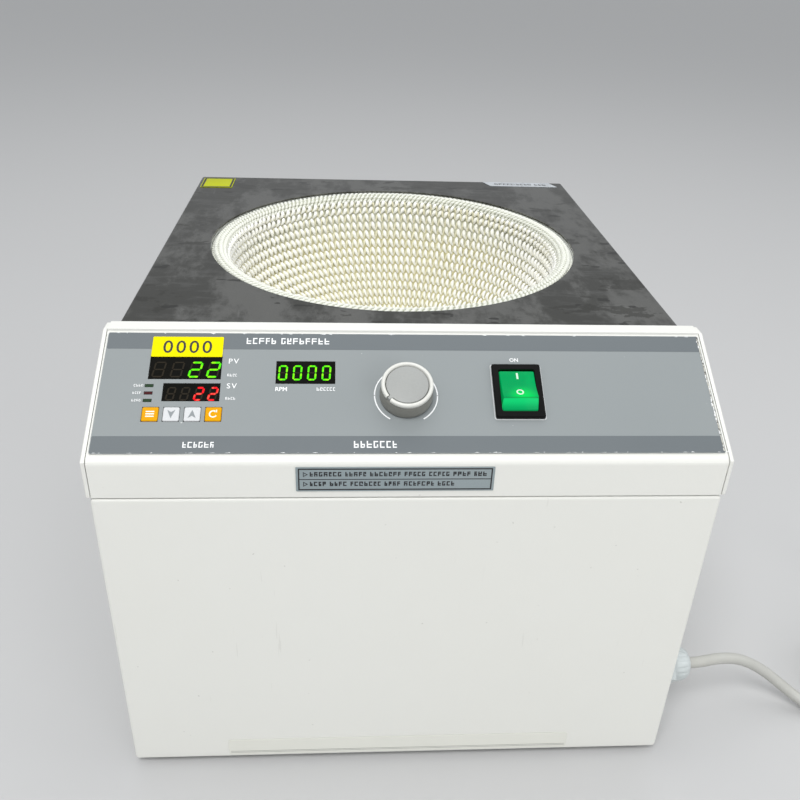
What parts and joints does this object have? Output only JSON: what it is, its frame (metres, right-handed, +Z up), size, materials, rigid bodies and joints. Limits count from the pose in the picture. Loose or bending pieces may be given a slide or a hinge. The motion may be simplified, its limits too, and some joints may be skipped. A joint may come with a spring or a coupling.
{
  "type": "stirring heating mantle",
  "caption": "Boxy bench heater with a knitted hemispherical bowl for round flasks, sloping control panel, speed knob, rocker switch and a coiled mains lead.",
  "frame": {"origin": "on the bench under the middle of the case, without the mains lead and its gland", "axes": "+Z up, +X to the user's right, -Y towards the user who faces the control panel"},
  "size_m": [0.5375, 0.4104, 0.2475],
  "materials": {
    "white_paint": "white powder coat, satin",
    "stainless": "polished, worn and smudged",
    "overlay_grey": "printed film, satin",
    "black_plastic": "moulded, satin",
    "display_black": "dark window, gloss",
    "knob_grey": "moulded, satin",
    "knob_white": "moulded, satin",
    "key_orange": "satin",
    "key_white": "satin",
    "lens_green": "tinted, translucent",
    "lens_red": "tinted, translucent",
    "label_grey": "printed film",
    "label_clear": "clear film",
    "label_yellow": "printed film",
    "label_silver": "silver film",
    "glass_fibre": "knitted glass-fibre yarn",
    "aluminium": "plain",
    "galvanised": "zinc plated",
    "mineral_wool": "fibrous",
    "motor_steel": "dark plated",
    "magnet_nickel": "nickel plated",
    "board_green": "solder mask",
    "rubber_black": "matt",
    "nylon_grey": "moulded nylon",
    "cord_grey": "PVC sheath",
    "pin_nickel": "nickel plated"
  },
  "bodies": {
    "case": {"front_panel": "white_paint", "left_side_panel": "white_paint", "right_side_panel": "white_paint", "rear_panel": "white_paint", "control_head": "white_paint", "head_left_cheek": "white_paint", "head_right_cheek": "white_paint", "top_plate": "stainless", "panel_overlay": "overlay_grey", "power_switch_housing": "black_plastic", "board_carrier": "black_plastic", "solid_state_relay": "black_plastic", "pv_display": "display_black", "sv_display": "display_black", "rpm_display": "display_black", "led_output": "lens_green", "led_autotune": "lens_green", "led_alarm": "lens_red", "info_label": "label_grey", "front_sticker": "label_clear", "plate_label_left": "label_yellow", "asset_tag": "label_yellow", "plate_label_right": "label_silver", "heating_mantle": "glass_fibre", "heater_shell": "aluminium", "potentiometer": "aluminium", "base_plate": "galvanised", "heat_shield": "galvanised", "motor_bracket": "galvanised", "insulation_bowl": "mineral_wool", "stirrer_motor": "motor_steel", "display_board": "board_green", "control_board": "board_green", "foot_front_left": "rubber_black", "foot_front_right": "rubber_black", "foot_rear_left": "rubber_black", "foot_rear_right": "rubber_black", "cable_gland_body": "nylon_grey", "gland_dome_nut": "nylon_grey", "gland_locknut": "nylon_grey", "terminal_block": "nylon_grey", "power_cord": "cord_grey", "cord_coil": "cord_grey", "mains_plug": "cord_grey", "plug_pin_left": "pin_nickel", "plug_pin_right": "pin_nickel", "potentiometer_nut": "pin_nickel"},
    "knob": {"speed_knob": "knob_grey", "knob_ring": "knob_white", "knob_cap": "knob_grey", "potentiometer_shaft": "aluminium"},
    "rocker": {"power_switch_rocker": "lens_green"},
    "mode_key": {"key_mode": "key_orange"},
    "down_key": {"key_down": "key_white"},
    "up_key": {"key_up": "key_white"},
    "autotune_key": {"key_autotune": "key_orange"},
    "stirrer_rotor": {"motor_shaft": "motor_steel", "magnet_carrier": "aluminium", "magnet_left": "magnet_nickel", "magnet_right": "magnet_nickel"}
  },
  "joints": [
    {"name": "speed_knob_turn", "type": "hinge", "parent": "case", "child": "knob", "pos_m": [-0.0031, -0.16635, 0.22693], "axis": [0, 0.5078, -0.8615], "range_deg": [0, 270]},
    {"name": "power_rocker", "type": "hinge", "parent": "case", "child": "rocker", "pos_m": [0.0525, -0.16237, 0.22451], "axis": [1, 0, 0], "range_deg": [0, 26.6]},
    {"name": "mode_key_press", "type": "slide", "parent": "case", "child": "mode_key", "axis": [0, 0.5078, -0.8615], "range_m": [0, 0.0005], "stiffness_N_per_m": 400},
    {"name": "down_key_press", "type": "slide", "parent": "case", "child": "down_key", "axis": [0, 0.5078, -0.8615], "range_m": [0, 0.0005], "stiffness_N_per_m": 400},
    {"name": "up_key_press", "type": "slide", "parent": "case", "child": "up_key", "axis": [0, 0.5078, -0.8615], "range_m": [0, 0.0005], "stiffness_N_per_m": 400},
    {"name": "autotune_key_press", "type": "slide", "parent": "case", "child": "autotune_key", "axis": [0, 0.5078, -0.8615], "range_m": [0, 0.0005], "stiffness_N_per_m": 400},
    {"name": "stirrer_spin", "type": "hinge", "parent": "case", "child": "stirrer_rotor", "pos_m": [0, 0.0383, 0.0836], "axis": [0, 0, 1], "continuous": true}
  ]
}
